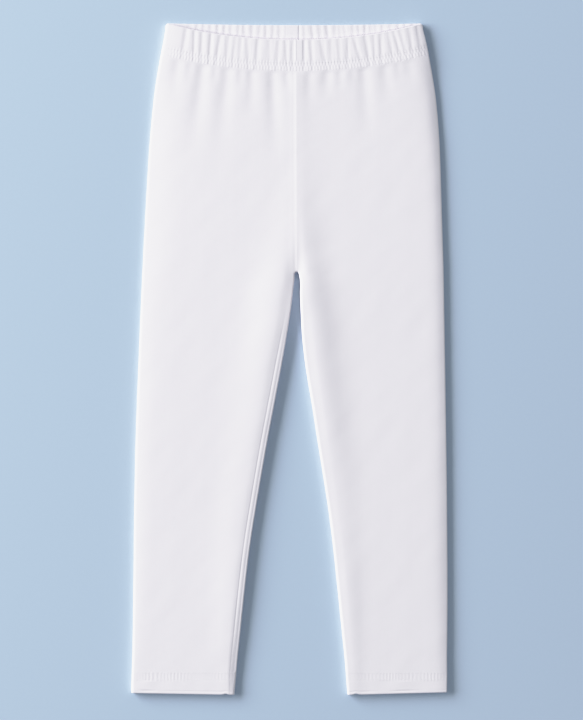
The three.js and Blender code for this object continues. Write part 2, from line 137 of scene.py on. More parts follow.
# How far a row keeps from the seam or the inner fold, and from the outer fold
STITCH_MARGIN = {"waist": (1.2 * MM, 4.5 * MM), "hem": (3 * MM, 3 * MM)}
# The back lies on its stitches and presses them into the cloth.
STITCH_SUNK = {"front": 0, "back": THREAD_RADIUS + STITCH_RISE / 4}

SIDES = {"right": -1, "left": 1}
PLY_FACING = {"front": 1, "back": -1}

# The soft ridge beside the front seam and the inseam: its distance from that line, its height, how far the
# cloth sinks again towards the line, and its widths towards the line and the middle of the leg, in
# millimetres
RIDGE = {
    "right": [
        {"y": -275, "inset": 8, "height": 0.2, "sink": 1.2, "edge": 5, "mid": 12},
        {"y": -212, "inset": 10, "height": 0.95, "sink": 0.8, "edge": 6.5, "mid": 16},
        {"y": -124, "inset": 11.4, "height": 0.95, "sink": 0.9, "edge": 8, "mid": 18},
        {"y": -36, "inset": 12.8, "height": 1.35, "sink": 1, "edge": 9, "mid": 20},
        {"y": 0, "inset": 13.5, "height": 1.7, "sink": 1.1, "edge": 9, "mid": 20},
        {"y": 35, "inset": 12.3, "height": 2.1, "sink": 1.2, "edge": 9, "mid": 20},
        {"y": 60, "inset": 12.5, "height": 2, "sink": 1.4, "edge": 11, "mid": 20},
        {"y": 80, "inset": 9, "height": 1.5, "sink": 1, "edge": 10, "mid": 20},
        {"y": 120, "inset": 3, "height": 0.8, "sink": 0.3, "edge": 9, "mid": 18},
        {"y": 160, "inset": 0, "height": 0.3, "sink": 0, "edge": 9, "mid": 14},
        {"y": 265, "inset": 0, "height": 0.2, "sink": 0, "edge": 9, "mid": 10},
    ],
    "left": [
        {"y": -275, "inset": 7, "height": 0.42, "sink": 0.2, "edge": 5, "mid": 8},
        {"y": -212, "inset": 9, "height": 0.75, "sink": 0.45, "edge": 6, "mid": 10},
        {"y": -124, "inset": 10, "height": 0.75, "sink": 0.45, "edge": 7, "mid": 15},
        {"y": -36, "inset": 11.4, "height": 1.85, "sink": 0.6, "edge": 7, "mid": 16},
        {"y": 0, "inset": 12, "height": 2.1, "sink": 0.65, "edge": 7, "mid": 17},
        {"y": 34, "inset": 10.8, "height": 2.4, "sink": 0.55, "edge": 7, "mid": 17},
        {"y": 60, "inset": 7, "height": 2.5, "sink": 0.3, "edge": 5, "mid": 17},
        {"y": 80, "inset": 4.5, "height": 2, "sink": 0.15, "edge": 5, "mid": 16},
        {"y": 120, "inset": 2, "height": 1.2, "sink": 0, "edge": 8, "mid": 15},
        {"y": 160, "inset": 0, "height": 0.65, "sink": 0, "edge": 8, "mid": 14},
        {"y": 265, "inset": 0, "height": 0.5, "sink": 0, "edge": 8, "mid": 12},
    ],
}

# Where the ridges of the two legs meet at the front seam, and the hollow at the crotch
SEAM_TO_EDGE = (-60 * MM, 12 * MM)
MEETING_WIDTH = 4 * MM
MEETING_END = (-4 * MM, 8 * MM)
HOLLOW = {"depth": 0.7 * MM, "reach": 7 * MM, "squash": 0.55}

# Below the casing: where the leg rises to it, and where the folds and the fine relief fade in
CASING_BLEND = (-2 * MM, 15 * MM)
RELIEF_FADE = (-1.5 * MM, 4 * MM)

# Faint unevenness of the cloth: how many waves, their range of lengths in millimetres and their height
UNEVEN_WAVES = 14
UNEVEN_LENGTHS = (9, 34)
UNEVEN_HEIGHT = 0.03 * MM
UNEVEN_SEED = 5

# The front seam: its ridge, the groove beside it and the allowance under it
RISE_RIDGE = {"height": 0.13 * MM, "at": 0.4 * MM, "right": 1.2 * MM, "left": 3.0 * MM}
RISE_GROOVE = {"depth": 0.03 * MM, "at": -2.4 * MM, "width": 0.8 * MM}
RISE_ALLOWANCE = {"height": 0.02 * MM, "start": (-1 * MM, 0.5 * MM), "end": (5 * MM, 9 * MM)}
BACK_SEAM = {"depth": 0.5 * MM, "width": 0.9 * MM}

# The inseam rolled on to the front of the right leg: the two grooves and the strip between them, with the
# distance from the folded edge, the width and the height of each in millimetres
INSEAM_LINES = [
    {"at": 1.9, "width": 0.5, "height": -0.07},
    {"at": 5.5, "width": 0.6, "height": -0.12},
    {"at": 3.7, "width": 1.2, "height": 0.1},
]
INSEAM_SHOWN = (20 * MM, 85 * MM)
INSEAM_SPREADS = (10 * MM, 90 * MM)
INSEAM_AT_CROTCH = 0.7
INSEAM_WEAKENS = (225 * MM, 265 * MM)
INSEAM_LOST_AT_HEM = 0.6

# Soft troughs: where they start and end in x and y, depth and half width, in millimetres. Those from the
# elastic start at the casing and fade out downwards.
FRONT_FOLDS = [
    {"x": (-98, -104), "y": (262, 218), "depth": 0.43, "width": 5},
    {"x": (-87, -90), "y": (260, 238), "depth": 0.25, "width": 3},
    {"x": (-76, -86), "y": (258, 178), "depth": 0.68, "width": 5.5},
    {"x": (-65, -67), "y": (256, 236), "depth": 0.25, "width": 2.8},
    {"x": (-54.5, -62), "y": (256, 176), "depth": 0.62, "width": 5.5},
    {"x": (-43, -43), "y": (255, 232), "depth": 0.25, "width": 2.8},
    {"x": (-33, -34), "y": (255, 208), "depth": 0.46, "width": 4.2},
    {"x": (-15, -12.5), "y": (254, 172), "depth": 0.59, "width": 4.6},
    {"x": (-3, 0), "y": (254, 228), "depth": 0.28, "width": 3.2},
    {"x": (17.5, 16.5), "y": (254, 214), "depth": 0.34, "width": 4},
    {"x": (33, 32), "y": (255, 226), "depth": 0.53, "width": 4.2},
    {"x": (44.5, 43.5), "y": (255, 230), "depth": 0.31, "width": 3.4},
    {"x": (55, 56), "y": (256, 238), "depth": 0.22, "width": 2.8},
    {"x": (65, 69), "y": (257, 188), "depth": 0.53, "width": 5},
    {"x": (83.5, 86.5), "y": (258, 222), "depth": 0.4, "width": 4.6},
    {"x": (95, 97), "y": (260, 240), "depth": 0.22, "width": 3},
    {"x": (104, 108), "y": (262, 232), "depth": 0.31, "width": 5},
    {"x": (8, -52), "y": (96, 118), "depth": 0.14, "width": 7},
    {"x": (14, 64), "y": (92, 112), "depth": 0.15, "width": 7},
    {"x": (-118, -60), "y": (20, -12), "depth": 0.09, "width": 12},
    {"x": (120, 62), "y": (34, -8), "depth": 0.09, "width": 12},
    {"x": (-70, -118), "y": (-120, -150), "depth": 0.09, "width": 12},
    {"x": (66, 116), "y": (-96, -124), "depth": 0.09, "width": 12},
]
BACK_FOLDS = [
    {"x": (-92, -98), "y": (292, 232), "depth": 0.55, "width": 4.5},
    {"x": (-68, -74), "y": (292, 214), "depth": 0.6, "width": 4.5},
    {"x": (-44, -48), "y": (292, 228), "depth": 0.5, "width": 4},
    {"x": (-24, -25), "y": (292, 206), "depth": 0.6, "width": 4.2},
    {"x": (-6, -5), "y": (292, 236), "depth": 0.45, "width": 3.6},
    {"x": (22, 23), "y": (292, 224), "depth": 0.55, "width": 4},
    {"x": (41, 44), "y": (292, 210), "depth": 0.6, "width": 4.4},
    {"x": (62, 66), "y": (292, 230), "depth": 0.45, "width": 3.8},
    {"x": (82, 88), "y": (292, 216), "depth": 0.55, "width": 4.4},
    {"x": (100, 105), "y": (292, 236), "depth": 0.4, "width": 4},
]

# How a fold fades along its run, how far ahead of its start it sets in, and how much it widens, as shares
FOLD_TAPER = 1.3
FOLD_ONSET = -0.25
FOLD_SPREADING = 0.5

# Gathers of the casing on each ply: how far out from the rise seam each one lies in millimetres, its share of
# the full depth, and how far it leans outwards on its way down
GATHERS = {
    "right": {
        "front": {
            "at": (2.5, 8.2, 15.7, 23.1, 33.9, 41.8, 48.7, 53.9, 60.1, 68.0, 75.2, 82.5, 89.1, 97.9),
            "depth": (0.9, 0.9, 0.7, 0.6, 0.9, 0.8, 0.7, 0.6, 0.9, 1.0, 1.15, 1.2, 1.1, 0.9),
            "lean": (0.02, -0.05, 0.08, 0.0, 0.1, -0.04, 0.05, 0.12, 0.12, 0.17, 0.07, 0.04, 0.05, 0.16),
        },
        "back": {
            "at": (10.5, 16.5, 22.5, 28.5, 34.6, 40.8, 47.0, 53.3, 59.7, 65.8, 71.5, 77.7, 83.5, 90.0, 97.0),
            "depth": (0.7, 0.9, 0.8, 1.0, 0.9, 1.1, 0.9, 0.8, 1.0, 1.0, 1.1, 0.9, 1.0, 0.8, 0.6),
            "lean": (0.05, -0.03, 0.04, 0.0, 0.06, 0.02, -0.04, 0.08, 0.05, 0.1, 0.07, 0.04, 0.05, 0.1, 0.1),
        },
    },
    "left": {
        "front": {
            "at": (7.5, 14.3, 24.8, 31.0, 38.5, 45.9, 54.7, 63.1, 69.3, 75.4, 83.8, 89.9, 94.8, 101.4, 108.6),
            "depth": (1.2, 1.0, 0.9, 0.8, 0.6, 0.7, 0.8, 1.1, 0.7, 0.9, 0.8, 1.0, 0.6, 0.8, 0.6),
            "lean": (0.0, 0.06, 0.22, 0.0, 0.08, 0.0, 0.3, 0.16, 0.05, 0.02, 0.2, 0.3, 0.26, 0.16, 0.16),
        },
        "back": {
            "at": (
                6.0, 13.4, 19.6, 26.6, 32.0, 37.3, 42.4, 48.5, 54.0,
                58.7, 63.6, 69.0, 75.5, 82.0, 88.5, 95.0, 102.0,
            ),
            "depth": (0.6, 1.0, 0.8, 1.3, 0.8, 0.9, 0.8, 0.6, 0.7, 1.2, 0.9, 1.0, 0.8, 0.7, 0.9, 0.8, 0.8),
            "lean": (
                0.1, 0.14, 0.1, 0.12, 0.0, 0.1, 0.2, 0.05, 0.1,
                0.0, 0.04, 0.1, 0.14, 0.1, 0.05, 0.1, 0.1,
            ),
        },
    },
}
GATHER_DEPTH = 0.33 * MM
GATHER_STEEP = 2.0 * MM
GATHER_GENTLE = 2.2 * MM
GATHERS_IN_STITCHES = 0.45
GATHER_SEED = {"front": 11, "back": 23}
FINE_GATHER_DEPTH = 0.05 * MM
FINE_GATHER_WIDTH = 0.9 * MM
FINE_GATHER_LEAN = 0.08
# How far below the top edge the gathers of the front set in, and how weak those of the back are behind it
GATHERS_BELOW_EDGE = (-0.8 * MM, 1.6 * MM)
BEHIND_EDGE = {"at": 0.4 * MM, "fade": (0.3 * MM, 1.8 * MM), "kept": 0.35}
# Within what distance of the outer fold the gathers set in
SMOOTH_AT_FOLD = {"right": (5 * MM, 12 * MM), "left": (0.5 * MM, 4 * MM)}
# Beside the rise seam, over what width the allowance holds the gathers flat, and how far
FLAT_PATCH = {"front": (0, 6.0 * MM), "back": (-11 * MM, 0)}
PATCH_PRESS = 0.04 * MM
PATCH_FLATTENING = 0.9
# The inside of the back sinks in a fine groove along the top edge of the front.
EDGE_GROOVE = 0.7 * MM
EDGE_GROOVE_WIDTH = 1.9 * MM
EDGE_GROOVE_ONSET = (-8 * MM, -4 * MM)
EDGE_CURL = 0.24 * MM

# How fine the meshes are
SHARP_ANGLE = math.radians(62)
FOLD_STEPS = 7
CAP_STEPS = 9
SEAM_COLUMNS = 24
SEAM_SHARE = 0.075
LEG_COLUMNS = {"front": 100, "back": 34}
CASING_COLUMNS = {"front": 250, "back": 230}
HEM_COLUMNS = {"front": 230, "back": 150}
LEG_ROWS = 150
BODY_ROWS = 88
BODY_CROWDING = 1.35
CASING_ROWS = 44
HEM_ROWS = 40
STITCH_SIDES = 6
STITCH_RINGS = 5
# How often a row of points is placed again, to settle on the curve of the waist
PLACING_ROUNDS = 3

# Where rays start from to find the edges of the solids and the cloth, between which heights and how many
OUTSIDE = 0.3
RAY_HEIGHT = 20 * MM
OUTER_RAYS = {"low": -291 * MM, "high": 292.5 * MM, "count": 40}
INNER_RAYS = {"low": -293.5 * MM, "high": CROTCH_Y - 6 * MM, "count": 24}

# Knit and colours
WALE = {"leg": 0.8 * MM, "casing": 0.7 * MM}
COURSE = 0.65 * MM
LOOP_DEPTH = 0.05 * MM
HAIR_DEPTH = 0.05 * MM
TWIST_DEPTH = 0.03 * MM
CLOTH_WHITE = (0.893, 0.859, 0.918)
CLOUDING = 0.985
# Thread colour: the darker shade is painted shade in the grooves of the twist, the lighter one its crests
THREAD_SHADES = ((0.80, 0.79, 0.82), (0.87, 0.86, 0.885))
FLOOR_SHADES = ((0.480, 0.585, 0.727), (0.495, 0.600, 0.742))

# Camera, straight above the garment
CAMERA_HEIGHT = 2.6
VIEW_CENTRE = (1.75 * MM, -0.8 * MM)
VIEW_HEIGHT = 633.6 * MM
SENSOR = 36.0
CAMERA_REACH = 50

# Light: one wide soft window at the upper left, and a plain bright room
KEY_DISTANCE = 4.8
KEY_ELEVATION = math.radians(20)
KEY_FROM = Vector((-0.93, 0.37, 0)).normalized()
KEY_WIDTH = 5.2
KEY_TALL = 2.3
KEY_POWER = 450
KEY_COLOUR = (1.0, 0.99, 0.985)
SKY = (0.91, 0.965, 1.0)
SKY_STRENGTH = 0.375

# Floor: half its side, and how far it lies below the cloth
FLOOR_REACH = 6.0
FLOOR_DROP = 0.02 * MM

# Tones that roll off towards white: brightness of the scene, and what is shown
TONES = ((0, 0), (0.4, 0.4), (0.8, 0.8), (1.0, 0.895), (1.4, 0.935), (2.2, 0.955), (4, 0.965))

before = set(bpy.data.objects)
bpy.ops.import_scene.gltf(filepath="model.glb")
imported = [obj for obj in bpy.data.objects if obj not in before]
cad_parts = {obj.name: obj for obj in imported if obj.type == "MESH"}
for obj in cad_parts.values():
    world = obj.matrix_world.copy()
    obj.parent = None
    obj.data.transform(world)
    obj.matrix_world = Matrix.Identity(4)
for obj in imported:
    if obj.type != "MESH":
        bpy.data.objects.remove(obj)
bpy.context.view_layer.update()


# Curves and profiles


def smooth_curve(xs, values):
    """A smooth function through the given points, for arrays, flat beyond its ends."""
    xs = np.asarray(xs, float)
    values = np.asarray(values, float)
    slopes = np.gradient(values, xs)

    def curve(x):
        x = np.clip(x, xs[0], xs[-1])
        k = np.clip(np.searchsorted(xs, x, side="right") - 1, 0, len(xs) - 2)
        span = xs[k + 1] - xs[k]
        t = (x - xs[k]) / span
        start = (2 * t**3 - 3 * t**2 + 1) * values[k] + (t**3 - 2 * t**2 + t) * span * slopes[k]
        end = (3 * t**2 - 2 * t**3) * values[k + 1] + (t**3 - t**2) * span * slopes[k + 1]
        return start + end

    return curve


def table_curve(rows, column):
    return smooth_curve([row["y"] * MM for row in rows], [row[column] for row in rows])


def bell(distance, width):
    return np.exp(-((distance / width) ** 2))


def fade(value, start, end):
    """0 at start and 1 at end, smooth between."""
    t = np.clip((value - start) / (end - start), 0, 1)
    return t * t * (3 - 2 * t)


def rounding(distance, radius, squareness):
    """Rise of a folded edge: 0 on the edge and 1 once a radius inside it."""
    share = np.clip(distance / np.maximum(radius, 1e-6), 0, 1)
    return (1 - (1 - share) ** squareness) ** (1 / squareness)


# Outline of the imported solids


def solid_trees(side):
    trees = []
    for part in ("leg", "waistband", "hem"):
        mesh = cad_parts[f"{side}_{part}"].data
        corners = [v.co.copy() for v in mesh.vertices]
        trees.append(BVHTree.FromPolygons(corners, [tuple(p.vertices) for p in mesh.polygons]))
    return trees


def edge_curve(trees, from_x, direction, rays):
    """Where rays along x at the height of the folds first meet the solids, as a smooth curve over y."""
    heights = []
    edges = []
    for y in np.linspace(rays["low"], rays["high"], rays["count"]):
        hits = [tree.ray_cast(Vector((from_x, y, FOLD_MIDDLE)), Vector((direction, 0, 0))) for tree in trees]
        near = [hit[0].x for hit in hits if hit[0] is not None]
        if near:
            heights.append(y)
            edges.append(min(near, key=lambda x: abs(x - from_x)))
    return smooth_curve(heights, edges)


def ridge_curves(side):
    return {key: table_curve(RIDGE[side], key) for key in ("inset", "height", "sink", "edge", "mid")}


def ridge_at_line(ridge, y):
    """Height that a ridge leaves at the line it lies beside."""
    crest, sink, inset, edge = (ridge[key](y) * MM for key in ("height", "sink", "inset", "edge"))
    return crest - sink * (1 - bell(inset, edge))


class Leg:
    """One side of the garment: its outline, taken from the solids, and the curves of its ridge."""

    def __init__(self, side):
        other = "left" if side == "right" else "right"
        trees = solid_trees(side)
        self.side = side
        self.out = SIDES[side]
        self.solid_outer = edge_curve(trees, self.out * OUTSIDE, -self.out, OUTER_RAYS)
        self.solid_inner = edge_curve(trees, CROTCH_X, self.out, INNER_RAYS)
        self.ridge = ridge_curves(side)
        self.other_ridge = ridge_curves(other)
        self.slope = table_curve(OUTER_SLOPE[side], "slope")
        self.reach = table_curve(OUTER_SLOPE[side], "reach")
        self.outer_squareness = SQUARENESS[side]
        self.inner_squareness = SQUARENESS[other]

    def outer(self, y):
        """x of the outer folded edge."""
        return self.solid_outer(y) - self.out * FOLD_INSET["outer"]

    def inner(self, y):
        """x of the inner folded edge, which bends into the arch between the legs."""
        arch = CROTCH_X + self.out * (SEAM_GAP / 2 + CROTCH_RADIUS)
        arch_y = CROTCH_Y - CROTCH_RADIUS
        inset = FOLD_INSET["inner"][self.side] * fade(CROTCH_Y - y, *INSET_FADE)
        edge = self.solid_inner(y) + self.out * inset
        edge = edge + (arch - edge) * fade(y, CROTCH_Y - ARCH_BEND, arch_y)
        opening = ARCH_OPENING[self.side] * bell(CROTCH_Y - y - OPENING_PLACE["at"], OPENING_PLACE["reach"])
        return edge + self.out * opening * (1 - fade(y, CROTCH_Y - OPENING_PLACE["end"], arch_y))

    def seam(self, ply, y):
        """x of the rise seam on one ply."""
        share = np.clip((y - CROTCH_Y) / (WAIST_TOP_Y - CASING_HEIGHT - WAIST_DIP[ply] - CROTCH_Y), 0, 1.2)
        return CROTCH_X + (SEAM_AT_WAIST[ply] - CROTCH_X) * share

    def across(self, ply, x, y):
        """How far out a point lies: 0 at the rise seam and 1 at the outer fold."""
        return (x - self.seam(ply, y)) / (self.outer(y) - self.seam(ply, y))


def waist_top(ply, across):
    return WAIST_TOP_Y - WAIST_DIP[ply] * (1 - np.clip(across, 0, 1) ** DIP_POWER)


def waist_seam(ply, across):
    return waist_top(ply, across) - CASING_HEIGHT


# Relief of the legs


def folds(table, x, y):
    """Depth of the placed soft folds at each point: rounded troughs that fade towards their far end."""
    depth = np.zeros_like(x)
    for fold in table:
        (x0, x1), (y0, y1) = (np.array(fold[key]) * MM for key in ("x", "y"))
        run = math.hypot(x1 - x0, y1 - y0)
        along = ((x - x0) * (x1 - x0) + (y - y0) * (y1 - y0)) / run**2
        aside = ((x - x0) * (y1 - y0) - (y - y0) * (x1 - x0)) / run
        gone = np.clip(along, 0, 1)
        reach = np.cos(gone * math.pi / 2) ** FOLD_TAPER * fade(along, FOLD_ONSET, 0.0)
        spread = fold["width"] * MM * (1 + FOLD_SPREADING * gone)
        depth += fold["depth"] * MM * reach * bell(aside, spread)
    return depth


def uneven(x, y):
    """Faint unevenness of cloth that has been handled: soft waves in many directions."""
    rng = np.random.default_rng(UNEVEN_SEED)
    height = np.zeros_like(x)
    for _ in range(UNEVEN_WAVES):
        turn = rng.uniform(0, math.pi)
        length = rng.uniform(*UNEVEN_LENGTHS) * MM
        start = rng.uniform(0, 2 * math.pi)
        height += np.sin(2 * math.pi * (x * math.cos(turn) + y * math.sin(turn)) / length + start) * length
    return UNEVEN_HEIGHT * height / (UNEVEN_WAVES**0.5 * sum(UNEVEN_LENGTHS) * MM / 2)


def above_crotch(y):
    return fade(y - CROTCH_Y, *CROTCH_FADE)


def rise_seam(distance, y):
    """The front seam: one soft ridge, with the allowances lying to the wearer's left of it."""
    from_crest = distance - RISE_RIDGE["at"]
    width = np.where(from_crest < 0, RISE_RIDGE["right"], RISE_RIDGE["left"])
    ridge = RISE_RIDGE["height"] * bell(from_crest, width)
    groove = RISE_GROOVE["depth"] * bell(distance - RISE_GROOVE["at"], RISE_GROOVE["width"])
    laid = fade(distance, *RISE_ALLOWANCE["start"]) * (1 - fade(distance, *RISE_ALLOWANCE["end"]))
    return above_crotch(y) * (ridge - groove + RISE_ALLOWANCE["height"] * laid)


def inseam(leg, x, y):
    """The inseam, which has rolled a few millimetres on to the front of the right leg."""
    if leg.side == "left":
        return np.zeros_like(x)
    spread = INSEAM_AT_CROTCH + (1 - INSEAM_AT_CROTCH) * fade(CROTCH_Y - y, *INSEAM_SPREADS)
    from_edge = leg.out * (x - leg.inner(np.minimum(y, CROTCH_Y)))
    relief = sum(
        line["height"] * MM * bell(from_edge - line["at"] * MM * spread, line["width"] * MM)
        for line in INSEAM_LINES
    )
    shown = fade(CROTCH_Y - y, *INSEAM_SHOWN) * (1 - INSEAM_LOST_AT_HEM * fade(-y, *INSEAM_WEAKENS))
    return shown * relief


def outer_sink(leg, x, y):
    """How far the front sinks towards the outer fold."""
    reach = leg.reach(y) * MM
    from_outer = np.maximum(leg.out * (leg.outer(y) - x), 0)
    return -leg.slope(y) * reach * (1 - np.tanh(from_outer / reach))


def ridge_height(leg, x, y):
    """Height of the soft ridge beside the front seam and the inseam. The two legs meet at one height."""
    seam = leg.seam("front", y)
    line = seam + (leg.inner(np.minimum(y, CROTCH_Y)) - seam) * fade(CROTCH_Y - y, *SEAM_TO_EDGE)
    from_line = np.maximum(leg.out * (x - line), 0)
    crest, sink, inset, edge, mid = (
        leg.ridge[key](y) * MM for key in ("height", "sink", "inset", "edge", "mid")
    )
    towards_edge = crest - sink * (1 - bell(from_line - inset, edge))
    towards_mid = crest * bell(from_line - inset, mid)
    step = (ridge_at_line(leg.other_ridge, y) - ridge_at_line(leg.ridge, y)) / 2
    meeting = bell(from_line, MEETING_WIDTH) * (1 - fade(CROTCH_Y - y, *MEETING_END))
    return np.where(from_line < inset, towards_edge, towards_mid) + step * meeting


def front_height(leg, x, y):
    """Height of the outside of the front ply of a leg."""
    sink = outer_sink(leg, x, y)
    under_waist = np.maximum(waist_seam("front", leg.across("front", x, y)) - y, 0)
    lift = WAIST_LIFT * bell(under_waist, WAIST_LIFT_REACH)
    from_crotch = np.hypot(x - CROTCH_X, HOLLOW["squash"] * (y - CROTCH_Y))
    hollow = HOLLOW["depth"] * bell(from_crotch, HOLLOW["reach"])
    height = PLY_TOP + ridge_height(leg, x, y) + sink + lift - hollow
    at_casing = CASING_TOP - STITCH_PRESS + sink
    height += (at_casing - height) * (1 - fade(under_waist, *CASING_BLEND))
    fine = uneven(x, y) + rise_seam(x - leg.seam("front", y), y) + inseam(leg, x, y)
    return height + (fine - folds(FRONT_FOLDS, x, y)) * fade(under_waist, *RELIEF_FADE)


def back_dimple(leg, x, y):
    """How far the underside lifts off the surface: the back seam's groove and the folds from the elastic."""
    seam = BACK_SEAM["depth"] * bell(x - leg.seam("back", y), BACK_SEAM["width"]) * above_crotch(y)
    return seam + folds(BACK_FOLDS, x, y)


# Meshes


def new_piece(name, points, faces):
    mesh = bpy.data.meshes.new(name)
    mesh.from_pydata(points, [], faces)
    mesh.update()
    mesh.shade_smooth()
    piece = bpy.data.objects.new(name, mesh)
    bpy.context.scene.collection.objects.link(piece)
    return piece


def grid_mesh(name, points, out, closed_rows=0, ring=False):
    """A surface from a grid of points. In the first closed_rows rows the last column is the first again, and
    with ring the last row is the first again. out is the side that the columns run towards, and sets the
    facing."""
    rows, columns = points.shape[:2]
    index = np.arange(rows * columns).reshape(rows, columns)
    index[:closed_rows, -1] = index[:closed_rows, 0]
    if ring:
        index[-1] = index[0]
    quads = np.stack([index[:-1, :-1], index[:-1, 1:], index[1:, 1:], index[1:, :-1]], axis=-1).reshape(-1, 4)
    faces = quads.tolist()
    if ring and not closed_rows:
        faces += [index[:-1, 0].tolist(), index[:-1, -1][::-1].tolist()]
    used, compact = np.unique(np.concatenate(faces), return_inverse=True)
    ends = np.cumsum([len(face) for face in faces])
    faces = [part.tolist() for part in np.split(compact, ends[:-1])]
    if out < 0:
        faces = [face[::-1] for face in faces]
    return new_piece(name, points.reshape(-1, 3)[used].tolist(), faces)


def finish_cloth(piece, material, node):
    """Applies the modifiers, keeps only true folds sharp, gives the piece its material, puts it under the
    root body and hides the solid it stands for.
    """
    shape = bpy.data.meshes.new_from_object(piece.evaluated_get(bpy.context.evaluated_depsgraph_get()))
    shape.name = piece.name
    piece.modifiers.clear()
    piece.data = shape
    shape.set_sharp_from_angle(angle=SHARP_ANGLE)
    piece.data.materials.append(material)
    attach(piece, "root")
    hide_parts(node)


def tube_columns(columns):
    """Columns round a flattened tube from the inner edge over the front, the outer fold and the back: whether
    each is on the front, which fold it is in (-1 inner, 1 outer, 0 none), its fold angle and its share of the
    flat stretch. On the front the first columns lie close together beside the inseam."""
    front_count, back_count = columns["front"], columns["back"]
    angles = np.linspace(0, math.pi / 2, FOLD_STEPS, endpoint=False)
    beside_seam = np.linspace(0, SEAM_SHARE, SEAM_COLUMNS, endpoint=False)
    front_shares = np.concatenate([beside_seam, np.linspace(SEAM_SHARE, 1, front_count - SEAM_COLUMNS)])
    back_shares = np.linspace(0, 1, back_count)
    counts = [FOLD_STEPS, front_count, 2 * FOLD_STEPS - 1, back_count, FOLD_STEPS]
    zone = np.repeat([-1, 0, 1, 0, -1], counts)
    angle = np.concatenate([
        angles,
        np.zeros(front_count),
        angles[::-1],
        angles[1:],
        np.zeros(back_count),
        angles[::-1],
    ])
    share = np.zeros(len(zone))
    share[FOLD_STEPS:FOLD_STEPS + front_count] = front_shares
    share[-FOLD_STEPS - back_count:-FOLD_STEPS] = back_shares[::-1]
    front = np.arange(len(zone)) < 2 * FOLD_STEPS + front_count
    return front, zone, angle, share


def column_x(out, zone, angle, share, start, end, radius):
    """x of the columns of a flattened tube between its inner edge, start, and its outer edge, end."""
    inset = out * radius * (1 - np.cos(angle))
    flat = start + out * radius + (end - start - 2 * out * radius) * share
    return np.where(zone < 0, start + inset, np.where(zone > 0, end - inset, flat))


def wall_rows(count, wall):
    """Rows round a wall, along its outside, round the turned edge and back inside, with one to close it: the
    turn of those at the edge, how deep in the wall each lies, and whether it faces out, 1, or in, -1."""
    cap = np.linspace(0, math.pi, CAP_STEPS)[1:-1]
    turned = wall / 2 * (1 - np.cos(cap))
    depth = np.concatenate([np.zeros(count), turned, np.full(count, wall), [0]])
    return cap, depth, 1 - 2 * depth / wall


# Legs


def leg_cloth(leg, material):
    front, zone, angle, share = tube_columns(LEG_COLUMNS)
    arch_y = CROTCH_Y - CROTCH_RADIUS
    arch_steps = np.linspace(0, math.pi / 2, FOLD_STEPS)[1:]
    body_from = CROTCH_Y + FOLD_MIDDLE
    rows = []

    def all_at(value):
        return lambda ply, place: np.full_like(share, value)

    def add_row(y_of, start_of):
        across = np.where(zone == 0, share, (zone > 0) * 1.0)
        for _ in range(PLACING_ROUNDS):
            y = np.where(front, y_of("front", across), y_of("back", across))
            start = np.where(front, start_of("front", y), start_of("back", y))
            x = column_x(leg.out, zone, angle, share, start, leg.outer(y), FOLD_MIDDLE)
            across = np.where(front, leg.across("front", x, y), leg.across("back", x, y))
        from_inner = np.where(
            y <= arch_y,
            leg.out * (x - leg.inner(np.minimum(y, arch_y))),
            np.hypot(x - CROTCH_X, y - arch_y) - CROTCH_RADIUS,
        )
        rise = np.minimum(
            rounding(from_inner, FOLD_MIDDLE, leg.inner_squareness),
            rounding(leg.out * (leg.outer(y) - x), FOLD_MIDDLE, leg.outer_squareness),
        )
        top = FOLD_MIDDLE + (front_height(leg, x, y) - FOLD_MIDDLE) * rise
        under = FOLD_MIDDLE - (FOLD_MIDDLE - back_dimple(leg, x, y)) * rise
        rows.append(np.stack([x, y, np.where(front, top, under)], axis=-1))

    for height in np.linspace(HEM_LINE_Y, arch_y, LEG_ROWS):
        add_row(all_at(height), lambda ply, y: leg.inner(y))
    for step in arch_steps:
        height = arch_y + CROTCH_RADIUS * math.sin(step)
        edge = CROTCH_X + leg.out * CROTCH_RADIUS * math.cos(step)
        add_row(all_at(height), all_at(edge))
    closed = len(rows)
    for step in arch_steps:
        add_row(all_at(CROTCH_Y + FOLD_MIDDLE * (1 - math.cos(step))), leg.seam)
    for part in 1 - (1 - np.linspace(0, 1, BODY_ROWS)[1:]) ** BODY_CROWDING:
        add_row(lambda ply, across: body_from + (waist_seam(ply, across) - body_from) * part, leg.seam)

    piece = grid_mesh(f"{leg.side}_leg_cloth", np.array(rows), leg.out, closed_rows=closed)
    wall = piece.modifiers.new("wall", "SOLIDIFY")
    wall.thickness = KNIT
    wall.offset = -1
    finish_cloth(piece, material, f"{leg.side}_leg")
    return piece


# Waist casing


